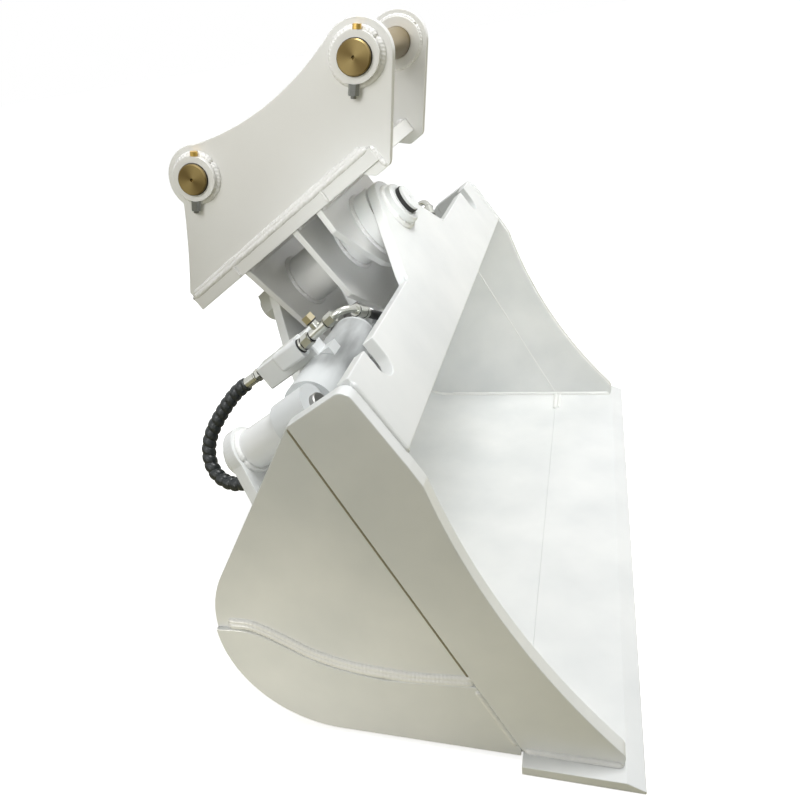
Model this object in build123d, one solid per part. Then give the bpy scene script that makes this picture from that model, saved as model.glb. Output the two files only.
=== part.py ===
from build123d import *
from math import atan2, cos, degrees, hypot, pi, radians, sin, sqrt, tan
import os

os.makedirs("parts", exist_ok=True)

# Hydraulic tilting bucket for a 14 to 17 t excavator. Millimetres, X across the bucket, -Y the open
# mouth, +Z up. Pieces near the tilt axis are drawn in the tilt frame: X across, Y square to the axis
# (level), Z along the axis towards the mouth (station).

# bucket body
bucketWidth = 1600.0      # over the side cutters
sideThick = 25.0
cutterProud = 10.0        # side cutter and heel plate stand this far out from the side plate
lipOverhang = 35.0
lipTip = -470.0
lipRear = -259.0
lipThick = 20.0
lipBevel = 32.0
lipNose = 6.0
shellThick = 12.0
heelCentre = 98.0         # Y of the heel radius
heelRadius = 238.0
backLean = 30.0           # degrees from upright
footFront = -438.0        # front foot of the side cutter
footHeight = 46.0
edgeStart = (-118.0, 600.0)
edgeSag = 35.0            # hollow of the cutter's front edge
footRadius = 24.0

# tilt frame
axisSlope = 33.0          # degrees, rising towards the mouth
axisY, axisZ = 33.0, 903.0
sideLevel = -124.0        # top edge of the side plates
deckLevel = -271.0        # upper face of the deck sheet
deckBend = 40.0

# front and rear plates
plateThick = 25.0
frontFace = -37.0
rearFace = -380.0
towerRadius = 78.0
rearTowerRadius = 90.0
towerFoot = 236.0         # half width where the front tower meets the shoulder
shoulderLevel = -121.0
towerStep = 16.0
slotWidth = 62.0
slotDepth = 70.0
bossRadius = 53.0
frontBoss = 25.0
rearBoss = 28.0

# tilt pin and hub
tiltPinRadius = 35.0
capRadius = 33.0
capThick = 6.0
sealThick = 10.0
nutLength = 34.0
nutAcross = 92.0
pinTail = 14.0
hubRadius = 66.0
housingRadius = 82.0
bushWall = 7.5
bushLength = 70.0
washerThick = 3.0

# hanger
earGap = 362.0
earThick = 25.0
baseThick = 34.0
baseUnder = 113.0
baseFront, baseRear = 61.0, -510.0
baseProud = 6.0
armPin = (151.0, 297.0)   # station, level
linkPin = (-294.0, 350.0)
earRound = 73.0
earPinRadius = 35.0
earBossRadius = 50.0
earBossProud = 20.0
collarRadius = 58.0
collarThick = 8.0
pinProud = 10.0
ribThick = 15.0
frontRibFace, middleRibFace, rearRibFace = -109.0, -184.0, -343.0
ribTop = 207.0
boltRadius = 6.0
boltAngle = 47.0
nutAcrossFlats = 20.0
nutHeight = 11.0

# tilt cylinders
cylinderLevel = -163.0
cylinderStation = -235.0
anchorInset = 175.0       # cylinder anchor from the outside of the bucket
anchorX = bucketWidth / 2 - anchorInset
rodPinX = 60.0
boreRadius = 45.0
barrelWall = 9.0
rodRadius = 25.0
eyeRadius = 50.0
eyeWidth = 80.0
rodEyeRadius = 42.0
rodEyeWidth = 60.0
anchorPinRadius = 25.0
rodPinRadius = 22.5
tiltRange = 45.0
pistonLength = 50.0
endClearance = 12.0
glandLength = 24.0
glandCollar = 12.0
anchorTubeRadius = 42.0
anchorCollar = 15.0
portBossInset = 139.0
blockInset, blockWide = 179.0, 54.0
blockRear, blockFront = -362.0, -217.0
blockFoot, blockTop = 49.0, 106.0
portProud, portRise, portFace = 16.0, 91.0, -229.0
lugRadius = 42.0

# hoses and fittings
hoseRadius = 9.5
guardRadius = 16.5
ferruleRadius = 12.5
pipeRadius = 8.0
hoseUnit = 1.0            # scale of the hose routes
crimpLength, neckLength = 38.0, 12.0
teeNut, teeBody, teeRise = 26.0, 23.0, 5.0
teeRuns = (9.0, 22.0, 6.0, 40.0, 4.0, 20.0)
teeBranch, plugLength = 24.0, 15.0
pipeRun = 30.0

# running clearances
pinFit = 0.05
sideFit = 0.5
boreFit = 0.05

tiltFrame = Plane(origin=(0, axisY, axisZ), x_dir=(1, 0, 0),
                  z_dir=(0, -cos(radians(axisSlope)), sin(radians(axisSlope))))


def fromTilt(x, level, station):
    return tiltFrame.from_local_coords(Vector(x, level, station))


# The origin is under the middle of the outer box: lip tip to the rear corner of the hanger.
earRearLevel = baseUnder + baseThick + 19.0
rearMost = fromTilt(0, earRearLevel, baseRear).Y
middle = Pos(0, -(lipTip + rearMost) / 2, 0)
tiltPlace = middle * tiltFrame.location


def save(name, shape):
    shape.label = name
    export_step(shape, f"parts/{name}.step")
    print(f"{name:26s} {shape.volume / 1000:10.1f} cm3  valid {shape.is_valid}")


def saveTilt(name, shape):
    save(name, tiltPlace * shape)


def saveBucket(name, shape):
    save(name, middle * shape)


def disc(radius, x, level, near, far, bore=0.0):
    """Round piece along the tilt axis between two stations."""
    low, high = sorted((near, far))
    ring = Circle(radius) - Circle(bore) if bore else Circle(radius)
    return extrude(Plane((x, level, low)) * ring, high - low)


def acrossDisc(radius, level, station, near, far, bore=0.0):
    """Round piece along X between two X values."""
    low, high = sorted((near, far))
    ring = Circle(radius) - Circle(bore) if bore else Circle(radius)
    return extrude(Plane((low, level, station), x_dir=(0, 1, 0), z_dir=(1, 0, 0)) * ring, high - low)


def mirrorX(shape):
    return mirror(shape, Plane.YZ)


# Outlines in the bucket's side view, Y and Z.
floorUnder = lipThick - shellThick
heelZ = floorUnder + heelRadius
lean = radians(backLean)
slope = radians(axisSlope)
backUp = Vector(-sin(lean), cos(lean))
heelTop = Vector(heelCentre + heelRadius * cos(lean), heelZ + heelRadius * sin(lean))


def sideView(level, station):
    p = fromTilt(0, level, station)
    return Vector(p.Y, p.Z)


def onBack(level, inset=0.0):
    """Point where the back line, moved in by inset, crosses a level of the tilt frame."""
    start = heelTop - Vector(cos(lean), sin(lean)) * inset
    rise = Vector(sin(slope), cos(slope))
    have = (start - Vector(axisY, axisZ)).dot(rise)
    return start + backUp * ((level - have) / backUp.dot(rise))


frontRear = frontFace - plateThick
deckUnder = deckLevel - shellThick
innerX = bucketWidth / 2 - sideThick - cutterProud
outerX = bucketWidth / 2 - cutterProud

# Shell: floor, heel, back and deck of one bent sheet.
deckFront = sideView(deckLevel, frontRear)
deckFrontUnder = sideView(deckUnder, frontRear)
outerCorner = onBack(deckLevel)
innerCorner = onBack(deckUnder, shellThick)
innerRadius = heelRadius - shellThick
heelMid = Vector(heelCentre, heelZ)
midway = Vector(sin(radians(45 + backLean / 2)), -cos(radians(45 + backLean / 2)))
innerHeelTop = heelMid + Vector(cos(lean), sin(lean)) * innerRadius
with BuildPart() as shell:
    with BuildSketch(Plane.YZ):
        with BuildLine():
            Polyline((lipRear, lipThick), (lipRear, floorUnder), (heelCentre, floorUnder))
            ThreePointArc((heelCentre, floorUnder), heelMid + midway * heelRadius, heelTop)
            Polyline(heelTop, outerCorner, deckFront, deckFrontUnder, innerCorner, innerHeelTop)
            ThreePointArc(innerHeelTop, heelMid + midway * innerRadius, (heelCentre, lipThick))
            Line((heelCentre, lipThick), (lipRear, lipThick))
        make_face()
    extrude(amount=innerX, both=True)
    bends = shell.edges().filter_by(Axis.X).filter_by(
        lambda e: (Vector(0, outerCorner.X, outerCorner.Y) - e.center()).length < 1)
    fillet(bends, deckBend)
    bends = shell.edges().filter_by(Axis.X).filter_by(
        lambda e: (Vector(0, innerCorner.X, innerCorner.Y) - e.center()).length < 1)
    fillet(bends, deckBend - shellThick)
saveBucket("bucket_shell", shell.part)

# Cutting lip with a bevelled nose.
with BuildSketch(Plane.YZ) as lipSection:
    with BuildLine():
        Polyline((lipRear, 0), (lipTip, 0), (lipTip, lipNose), (lipTip + lipBevel, lipThick),
                 (lipRear, lipThick), close=True)
    make_face()
saveBucket("cutting_lip", extrude(lipSection.sketch, bucketWidth / 2 + lipOverhang, both=True))

# Side cutter: from the top corner down the front edge to the lip, its rear edge is the seam.
topRear = onBack(sideLevel)
topFront = sideView(sideLevel, frontFace)
plateFoot = sideView(deckUnder - 14, frontFace)
edge0, edge1 = Vector(*edgeStart), Vector(footFront, footHeight)
chord = (edge1 - edge0).normalized()
edgeMid = (edge0 + edge1) / 2 + Vector(-chord.Y, chord.X) * edgeSag
seamFoot = Vector(lipRear, lipThick)
with BuildPart() as cutter:
    with BuildSketch(Plane.YZ):
        with BuildLine():
            Polyline(seamFoot, topRear, topFront, plateFoot, edge0)
            ThreePointArc(edge0, edgeMid, edge1)
            Polyline(edge1, (footFront + 4, lipThick), seamFoot)
        make_face()
    extrude(amount=sideThick + cutterProud)
    corner = cutter.edges().filter_by(Axis.X).filter_by(
        lambda e: min((Vector(0, q.X, q.Y) - Vector(0, e.center().Y, e.center().Z)).length
                      for q in (topFront, edge1)) < 1)
    fillet(corner, footRadius)
cutterRight = Pos(innerX, 0, 0) * cutter.part
saveBucket("side_cutter_right", cutterRight)
saveBucket("side_cutter_left", mirrorX(cutterRight))

# Side plate behind the seam.
with BuildSketch(Plane.YZ) as sideFace:
    with BuildLine():
        Polyline(seamFoot, (lipRear, floorUnder), (heelCentre, floorUnder))
        ThreePointArc((heelCentre, floorUnder), heelMid + midway * heelRadius, heelTop)
        Polyline(heelTop, topRear, seamFoot)
    make_face()
sideRight = extrude(Plane((innerX, 0, 0)) * sideFace.sketch, sideThick, dir=(1, 0, 0))
saveBucket("side_plate_right", sideRight)
saveBucket("side_plate_left", mirrorX(sideRight))

# Heel wear plate, welded on the low rear corner of each side. Its upper edge in parts of the heel radius.
heelSpline = ((0.689, 1.0), (0.345, 0.861), (0.013, 0.727), (-0.319, 0.668))
seamAt = [seamFoot + (topRear - seamFoot) * f for f in (0.01, 0.215)]
with BuildSketch(Plane.YZ) as heelFace:
    with BuildLine():
        bottom = Line(seamAt[0], (seamAt[0].X, floorUnder))
        Line(bottom @ 1, (heelCentre, floorUnder))
        heelArc = ThreePointArc((heelCentre, floorUnder), heelMid + midway * heelRadius,
                                heelMid + Vector(cos(radians(2)), -sin(radians(2))) * heelRadius)
        Spline(heelArc @ 1, *[(heelCentre + heelRadius * a, heelRadius * b) for a, b in heelSpline], seamAt[1],
               tangents=[(-1, 0.05), (-1, 0.06)])
        Line(seamAt[1], seamAt[0])
    make_face()
heelRight = extrude(Plane((outerX, 0, 0)) * heelFace.sketch, cutterProud, dir=(1, 0, 0))
saveBucket("heel_plate_right", heelRight)
saveBucket("heel_plate_left", mirrorX(heelRight))


def tower(radius, foot, footLevel):
    """Half outline from the top of the pin boss down a straight flank to its foot."""
    reach = hypot(foot, footLevel)
    turn = atan2(foot, -footLevel) - pi / 2 + (pi / 2 - atan2(sqrt(reach ** 2 - radius ** 2), radius))
    touch = pi / 2 - (pi / 2 - atan2(footLevel, foot)) + atan2(sqrt(reach ** 2 - radius ** 2), radius)
    return Vector(radius * cos(touch), radius * sin(touch)), touch


# Front plate: tower for the tilt pin, two shoulders with a pin slot each.
touchPoint, touchAngle = tower(towerRadius, towerFoot, shoulderLevel + towerStep)
halfAngle = (touchAngle + pi / 2) / 2
with BuildPart() as front:
    with BuildSketch(Plane((0, 0, frontRear))):
        with BuildLine():
            Line((0, deckUnder), (0, towerRadius))
            ThreePointArc((0, towerRadius), (towerRadius * cos(halfAngle), towerRadius * sin(halfAngle)),
                          touchPoint)
            Polyline(touchPoint, (towerFoot, shoulderLevel + towerStep), (towerFoot + 14, shoulderLevel),
                     (innerX, shoulderLevel), (innerX, deckUnder), (0, deckUnder))
        make_face()
        mirror(about=Plane.YZ)
    extrude(amount=plateThick)
    with BuildSketch(Plane((0, 0, frontRear))):
        with Locations((anchorX - 8, shoulderLevel), (8 - anchorX, shoulderLevel)):
            Rectangle(slotWidth, 2 * (slotDepth - slotWidth / 2))
        with Locations((anchorX - 8, shoulderLevel - slotDepth + slotWidth / 2),
                       (8 - anchorX, shoulderLevel - slotDepth + slotWidth / 2)):
            Circle(slotWidth / 2)
        Circle(tiltPinRadius + pinFit)
    extrude(amount=plateThick, mode=Mode.SUBTRACT)
saveTilt("front_plate", front.part)

# Rear plate: tower for the tilt pin and an ear for each cylinder anchor.
touchPoint, touchAngle = tower(rearTowerRadius, towerFoot, shoulderLevel + towerStep)
halfAngle = (touchAngle + pi / 2) / 2
earOut = 57.0
rearRear = rearFace - plateThick
with BuildPart() as rear:
    with BuildSketch(Plane((0, 0, rearRear))):
        with BuildLine():
            Line((0, deckLevel), (0, rearTowerRadius))
            ThreePointArc((0, rearTowerRadius),
                          (rearTowerRadius * cos(halfAngle), rearTowerRadius * sin(halfAngle)), touchPoint)
            Polyline(touchPoint, (towerFoot, shoulderLevel + towerStep), (towerFoot + 96, deckLevel + 52),
                     (anchorX - earOut - 46, deckLevel + 52), (anchorX - earOut, cylinderLevel))
            ThreePointArc((anchorX - earOut, cylinderLevel), (anchorX, cylinderLevel + earOut),
                          (anchorX + earOut, cylinderLevel))
            Polyline((anchorX + earOut, cylinderLevel), (anchorX + earOut + 42, deckLevel), (0, deckLevel))
        make_face()
        mirror(about=Plane.YZ)
    extrude(amount=plateThick)
    with BuildSketch(Plane((0, 0, rearRear))):
        Circle(tiltPinRadius + pinFit)
        with Locations((anchorX, cylinderLevel), (-anchorX, cylinderLevel)):
            Circle(anchorPinRadius + pinFit)
    extrude(amount=plateThick, mode=Mode.SUBTRACT)
saveTilt("rear_plate", rear.part)

# Bosses, tilt pin, front cap with its seal, rear nut.
frontBossEnd = frontFace + frontBoss
rearBossEnd = rearRear - rearBoss
boss = disc(bossRadius, 0, 0, frontFace, frontBossEnd, tiltPinRadius + pinFit)
saveTilt("front_pin_boss", chamfer(boss.edges().group_by(Axis.Z)[-1], 4))
boss = disc(bossRadius, 0, 0, rearRear, rearBossEnd, tiltPinRadius + pinFit)
saveTilt("rear_pin_boss", chamfer(boss.edges().group_by(Axis.Z)[0], 4))
nutEnd = rearBossEnd - nutLength
pin = disc(tiltPinRadius, 0, 0, nutEnd - pinTail, frontBossEnd)
saveTilt("tilt_pin", chamfer(pin.edges().group_by(Axis.Z)[0], 3))
saveTilt("tilt_pin_seal", disc(capRadius + 2, 0, 0, frontBossEnd, frontBossEnd + sealThick))
cap = disc(capRadius, 0, 0, frontBossEnd + sealThick, frontBossEnd + sealThick + capThick)
cap -= disc(4, 0, 0, frontBossEnd + sealThick + capThick / 2, frontBossEnd + sealThick + capThick)
saveTilt("tilt_pin_cap", cap)
hexNut = extrude(Plane((0, 0, nutEnd)) * (RegularPolygon(nutAcross / 2, 6, major_radius=False)
                                         - Circle(tiltPinRadius + pinFit)), nutLength)
saveTilt("tilt_pin_nut", hexNut)

# Hub that turns on the tilt pin: tube, front housing, two bushes, thrust washers.
hubFront = frontRear - washerThick - sideFit
hubRear = rearFace + washerThick + sideFit
bushOuter = tiltPinRadius + bushWall
hub = disc(hubRadius, 0, 0, hubRear, hubFront) + disc(housingRadius, 0, 0, frontRibFace, hubFront)
hub -= disc(bushOuter, 0, 0, hubFront, hubFront - bushLength)
hub -= disc(bushOuter, 0, 0, hubRear, hubRear + bushLength)
hub -= disc(tiltPinRadius + 3, 0, 0, hubRear, hubFront)
saveTilt("hub_tube", hub)
saveTilt("front_bush", disc(bushOuter, 0, 0, hubFront, hubFront - bushLength, tiltPinRadius + pinFit))
saveTilt("rear_bush", disc(bushOuter, 0, 0, hubRear, hubRear + bushLength, tiltPinRadius + pinFit))
saveTilt("front_thrust_washer", disc(hubRadius - 4, 0, 0, frontRear, frontRear - washerThick,
                                     tiltPinRadius + pinFit))
saveTilt("rear_thrust_washer", disc(hubRadius - 4, 0, 0, rearFace, rearFace + washerThick,
                                    tiltPinRadius + pinFit))

# Hanger: base plate, ribs down to the hub and the rod lugs, ears.
baseX = earGap / 2 + earThick + baseProud
baseTop = baseUnder + baseThick
base = extrude(Plane((0, 0, baseRear)) * Pos(0, baseUnder + baseThick / 2) * Rectangle(2 * baseX, baseThick),
               baseFront - baseRear)
saveTilt("hanger_base", base)


def rib(face, flank, lug):
    """Transverse rib: half outline down the flank, mirrored, with holes for the hub and the rod pins."""
    with BuildPart() as made:
        with BuildSketch(Plane((0, 0, face - ribThick))):
            with BuildLine():
                Polyline((0, baseUnder), *flank, (0, flank[-1][1]), close=True)
            make_face()
            mirror(about=Plane.YZ)
            if lug:
                with Locations((rodPinX, cylinderLevel), (-rodPinX, cylinderLevel)):
                    Circle(lugRadius)
                Rectangle(2 * rodPinX, -cylinderLevel + lugRadius, align=(Align.CENTER, Align.MAX))
        extrude(amount=ribThick)
        with BuildSketch(Plane((0, 0, face - ribThick))):
            Circle(hubRadius)
        extrude(amount=ribThick, mode=Mode.SUBTRACT)
    return made.part


lugSide = rodPinX + lugRadius
saveTilt("rear_rib", rib(rearRibFace, [(ribTop, baseUnder), (ribTop - 62, -78), (lugSide, cylinderLevel)], True))
saveTilt("middle_rib", rib(middleRibFace, [(ribTop, baseUnder), (ribTop - 18, -80), (lugSide, cylinderLevel)],
                           True))
saveTilt("front_rib", rib(frontRibFace, [(ribTop, baseUnder), (ribTop + 4, 56), (ribTop - 58, -24), (92, -80),
                                         (50, -100)], False))

# Ear outline, station and level. The ear stands on the base plate and hooks round its front end.
earInner = earGap / 2
linkTouch = radians(50)
armTouch = radians(100)
linkEdge = Vector(*linkPin) + Vector(cos(linkTouch), sin(linkTouch)) * earRound
armEdge = Vector(*armPin) + Vector(cos(armTouch), sin(armTouch)) * earRound
armLow = Vector(*armPin) + Vector(cos(radians(-38)), sin(radians(-38))) * earRound
linkLow = Vector(*linkPin) + Vector(cos(radians(196)), sin(radians(196))) * earRound
hookTop = baseFront + 39.0
hookUnder = baseUnder - 23.0
with BuildPart() as ear:
    with BuildSketch(Plane((earInner + earThick, 0, 0), x_dir=(0, 0, 1), z_dir=(-1, 0, 0))):
        with BuildLine():
            ThreePointArc(linkEdge, ((linkEdge + armEdge) / 2) - Vector(0, 32), armEdge)
            ThreePointArc(armEdge, Vector(*armPin) + Vector(cos(radians(31)), sin(radians(31))) * earRound,
                          armLow)
            Polyline(armLow, (hookTop, baseUnder + 11), (baseFront + 10, hookUnder), (baseFront - 28, hookUnder),
                     (baseFront - 50, baseUnder), (baseFront, baseUnder), (baseFront, baseTop),
                     (baseRear, baseTop), (baseRear, earRearLevel))
            ThreePointArc((baseRear, earRearLevel), (linkLow.X - 52, linkLow.Y - 63), linkLow)
            ThreePointArc(linkLow, Vector(*linkPin) + Vector(cos(radians(123)), sin(radians(123))) * earRound,
                          linkEdge)
        make_face()
    extrude(amount=earThick)
    hookEdges = ear.edges().filter_by(Axis.X).filter_by(
        lambda e: min((Vector(e.center().Z, e.center().Y) - Vector(*q)).length for q in (
            (hookTop, baseUnder + 11), (baseFront + 10, hookUnder), (baseFront - 28, hookUnder))) < 1)
    fillet(hookEdges, 15)
    with BuildSketch(Plane((earInner + earThick, 0, 0), x_dir=(0, 0, 1), z_dir=(-1, 0, 0))):
        with Locations(armPin, linkPin):
            Circle(earPinRadius + 5)
    extrude(amount=earThick, mode=Mode.SUBTRACT)
saveTilt("hanger_ear_right", ear.part)
saveTilt("hanger_ear_left", mirrorX(ear.part))

# Ear bosses with collars, pins with their keeper bolts on the left side.
bossEnd = earInner + earThick + earBossProud
boltX = earInner + earThick + nutAcrossFlats * 0.59


def boltAxis(pinAt, low, high, radius):
    start = Vector(-boltX, pinAt[1], pinAt[0])
    way = Vector(0, sin(radians(boltAngle)), cos(radians(boltAngle)))
    return extrude(Plane(start + way * low, z_dir=way) * Circle(radius), high - low)


def earBoss(pinAt, side):
    level, station = pinAt[1], pinAt[0]
    made = acrossDisc(earPinRadius + 5, level, station, earInner - collarThick, bossEnd)
    made += acrossDisc(earBossRadius, level, station, earInner + earThick, bossEnd)
    made += acrossDisc(collarRadius, level, station, earInner - collarThick, earInner)
    made -= acrossDisc(earPinRadius + pinFit, level, station, earInner - collarThick, bossEnd)
    if side < 0:
        made = mirrorX(made)
        made -= boltAxis(pinAt, -earBossRadius - 1, earBossRadius + 1, boltRadius + 0.2)
    return made


for name, pinAt in (("arm", armPin), ("link", linkPin)):
    saveTilt(f"{name}_boss_right", earBoss(pinAt, 1))
    saveTilt(f"{name}_boss_left", earBoss(pinAt, -1))
    shaft = acrossDisc(earPinRadius, pinAt[1], pinAt[0], -bossEnd - pinProud, bossEnd + pinProud)
    shaft = chamfer(shaft.edges(), 2.5)
    for side in (-1, 1):
        end = side * (bossEnd + pinProud)
        shaft -= acrossDisc(4, pinAt[1], pinAt[0], end, end - side * 8)
    shaft -= boltAxis(pinAt, -earPinRadius - 1, earPinRadius + 1, boltRadius + 0.2)
    saveTilt(f"{name}_pin", shaft)

headEnd = earBossRadius + 10
tailEnd = earBossRadius + 2 * nutHeight + 6
bolts, nuts = [], []
for pinAt in (armPin, linkPin):
    bolts += [boltAxis(pinAt, -tailEnd, earBossRadius, boltRadius),
              boltAxis(pinAt, earBossRadius, headEnd, boltRadius * 1.5)]
    way = Vector(0, sin(radians(boltAngle)), cos(radians(boltAngle)))
    start = Vector(-boltX, pinAt[1], pinAt[0])
    for k in (1, 2):
        at = start - way * (earBossRadius + k * nutHeight)
        hexagon = RegularPolygon(nutAcrossFlats / 2, 6, major_radius=False) - Circle(boltRadius + pinFit)
        nuts.append(extrude(Plane(at, z_dir=way) * hexagon, nutHeight - 0.1 * (k - 1)))
saveTilt("keeper_bolts", Compound(children=[bolts[0] + bolts[1], bolts[2] + bolts[3]]))
saveTilt("keeper_nuts", Compound(children=nuts))

# Cylinder lengths: the rod pin goes round with the hub, its travel across is the stroke.
lugReach = hypot(rodPinX, cylinderLevel)
halfStroke = lugReach * sin(radians(tiltRange)) * cos(atan2(rodPinX, -cylinderLevel))
barrelRadius = boreRadius + barrelWall
boreStart = anchorX - eyeRadius - 12
boreLength = 2 * halfStroke + pistonLength + 2 * endClearance
boreEnd = boreStart - boreLength
barrelEnd = boreEnd - glandLength
glandFace = barrelEnd - glandCollar
print("half stroke", round(halfStroke, 2), "gap of rod eye to gland when drawn in",
      round(glandFace - rodPinX - halfStroke - rodEyeRadius, 1))
level, station = cylinderLevel, cylinderStation
eyeFront, eyeRear = station + eyeWidth / 2, station - eyeWidth / 2

barrel = acrossDisc(barrelRadius, level, station, barrelEnd, anchorX - eyeRadius + 5)
barrel += disc(eyeRadius, anchorX, level, eyeRear, eyeFront)
barrel += disc(17, (anchorX - portBossInset), level, station - barrelRadius - 6, station)
barrel -= acrossDisc(boreRadius, level, station, barrelEnd, boreStart)
barrel -= disc(anchorPinRadius + pinFit, anchorX, level, eyeRear, eyeFront)
gland = acrossDisc(boreRadius, level, station, barrelEnd, boreEnd)
gland += acrossDisc(barrelRadius, level, station, glandFace, barrelEnd)
gland = chamfer(gland.edges().group_by(Axis.X)[0], 3)
gland -= acrossDisc(rodRadius + pinFit, level, station, glandFace, boreEnd)
pistonMid = (boreStart + boreEnd) / 2
piston = acrossDisc(boreRadius - boreFit, level, station, pistonMid - pistonLength / 2,
                    pistonMid + pistonLength / 2, rodRadius)
rod = acrossDisc(rodRadius, level, station, rodPinX, pistonMid + pistonLength / 2)
rod += disc(rodEyeRadius, rodPinX, level, station - rodEyeWidth / 2, station + rodEyeWidth / 2)
rod -= disc(rodPinRadius, rodPinX, level, station - rodEyeWidth / 2, station + rodEyeWidth / 2)
rodPinRear, rodPinFront = rearRibFace + sideFit, middleRibFace - ribThick - sideFit
rodPin = disc(rodPinRadius, rodPinX, level, rodPinRear, rodPinFront)
rodPin += disc(rodPinRadius + 8, rodPinX, level, rodPinRear, station - rodEyeWidth / 2)

# Valve block across the top of the barrel. It has a port boss on its outer face and a port at its rear end.
blockX1 = anchorX - blockInset
blockX0 = blockX1 - blockWide
blockLow, blockHigh = level + blockFoot, level + blockTop
portX, portLevel = blockX1 + portProud, level + portRise
rearPortX = blockX1 - portProud
block = Box(blockX1 - blockX0, blockHigh - blockLow, blockFront - blockRear,
            align=(Align.MIN, Align.MIN, Align.MIN))
block = Pos(blockX0, blockLow, blockRear) * chamfer(block.edges(), 3)
saddle = Box(blockX1 - blockX0 - 8, 24, 2 * barrelRadius - 20, align=(Align.MIN, Align.MIN, Align.CENTER))
block += Pos(blockX0 + 4, blockLow - 20, station) * saddle
boss = Box(portX + 18 - blockX1 + 10, 44, 66, align=(Align.MIN, Align.CENTER, Align.MAX))
boss = fillet(boss.edges().group_by(Axis.Z)[0] + boss.edges().group_by(Axis.X)[-1].filter_by(Axis.Z), 9)
block += Pos(blockX1 - 10, portLevel - 1, portFace) * boss
block -= acrossDisc(barrelRadius, level, station, blockX0 - 1, portX + 40)

# Anchor tube, collar and pin on the rear plate.
tubeFront = eyeRear - sideFit
tube = disc(anchorTubeRadius, anchorX, level, rearFace, tubeFront, anchorPinRadius + pinFit)
collarEnd = rearRear - anchorCollar
collar = disc(anchorTubeRadius, anchorX, level, rearRear, collarEnd, anchorPinRadius + pinFit)
anchorPin = disc(anchorPinRadius, anchorX, level, collarEnd, eyeFront + 12)
anchorPin += disc(anchorPinRadius + 8, anchorX, level, collarEnd, collarEnd - 8)
anchorPin = chamfer(anchorPin.edges().group_by(Axis.Z)[-1], 2)
grease = extrude(Plane((anchorX, level, collarEnd - 20)) * RegularPolygon(10, 6, major_radius=False), 12)


def route(points):
    """Hose path: straight runs joined by arcs as large as the two runs allow."""
    pts = [Vector(*p) for p in points]
    radii = []
    for a, b, c in zip(pts, pts[1:], pts[2:]):
        turn = radians((b - a).get_angle(c - b))
        radii.append(0.45 * min((b - a).length, (c - b).length) / tan(turn / 2))
    return pts, radii


def scaled(points, shift=0.0):
    return [(x * hoseUnit + shift, v * hoseUnit, u * hoseUnit) for x, v, u in points]


def hose(name, points, radius):
    pts, radii = route(points)
    path = FilletPolyline(*pts, radius=radii)
    start = Plane(pts[0], z_dir=pts[1] - pts[0])
    made = sweep(start * Circle(radius), path=path)
    ratio = made.volume / (pi * radius ** 2 * path.length)
    print(name, "length", round(path.length, 1), "volume ratio", round(ratio, 4), "smallest radius",
          round(min(radii), 1), [round(r) for r in radii])
    return made


def along(radius, start, end):
    """Round piece between two points."""
    start, end = Vector(*start), Vector(*end)
    return extrude(Plane(start, z_dir=end - start) * Circle(radius), (end - start).length)


def hexAlong(across, start, end):
    start, end = Vector(*start), Vector(*end)
    return extrude(Plane(start, z_dir=end - start) * RegularPolygon(across / 2, 6, major_radius=False),
                   (end - start).length)


# Tee fitting forward from the port boss, with a plug on its branch.
portUp = Vector(0, sin(radians(teeRise)), cos(radians(teeRise)))
port = [Vector(portX, portLevel, portFace)]
for run in teeRuns:
    port.append(port[-1] + portUp * run)
port[1] = Vector(portX, portLevel, portFace + teeRuns[0])
tee = along(teeNut * 0.56, port[0], port[1]) + hexAlong(teeNut, port[1], port[2]) + along(teeBody * 0.45, port[2], port[3])
tee += along(teeBody / 2, port[3], port[4]) + along(teeBody * 0.43, port[4], port[5]) + hexAlong(teeNut - 2, port[5], port[6])
teeMid = (port[3] + port[4]) / 2
branchUp = Vector(0, portUp.Z, -portUp.Y)
tee += along(teeBody * 0.43, teeMid, teeMid + branchUp * teeBranch)
teePlug = hexAlong(teeBody + 1, teeMid + branchUp * teeBranch, teeMid + branchUp * (teeBranch + plugLength))

# Bent pipe end of the crossover hose, then the hose low behind the front plate, mirrored.
pipeBend = port[6] + portUp * pipeRun
ferruleWay = Vector(-0.82, -0.57, 0.02).normalized()
ferruleFrom = pipeBend + ferruleWay * (pipeRun + 10 * hoseUnit)
ferruleTo = ferruleFrom + ferruleWay * crimpLength
pipePath = FilletPolyline(port[6], pipeBend, ferruleFrom, radius=pipeRun * 0.95)
hoseEnds = sweep(Plane(port[6], z_dir=portUp) * Circle(pipeRadius), path=pipePath)
hoseEnds += along(ferruleRadius, ferruleFrom, ferruleTo)
crossHalf = [(337.0, -160.0, -82.0), (299.0, -189.0, -81.0), (257.0, -213.0, -80.0), (211.0, -231.0, -80.0),
             (160.0, -241.0, -80.5), (106.0, -245.0, -81.0), (50.0, -246.0, -81.5)]
crossHalf = [tuple(ferruleTo), tuple(ferruleTo + ferruleWay * 32 * hoseUnit)] + scaled(crossHalf)
crossPoints = [(-x, v, u) for x, v, u in crossHalf] + scaled([(0.0, -246.5, -82.5)]) + crossHalf[::-1]
crossHose = hose("crossover", crossPoints, hoseRadius)

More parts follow.
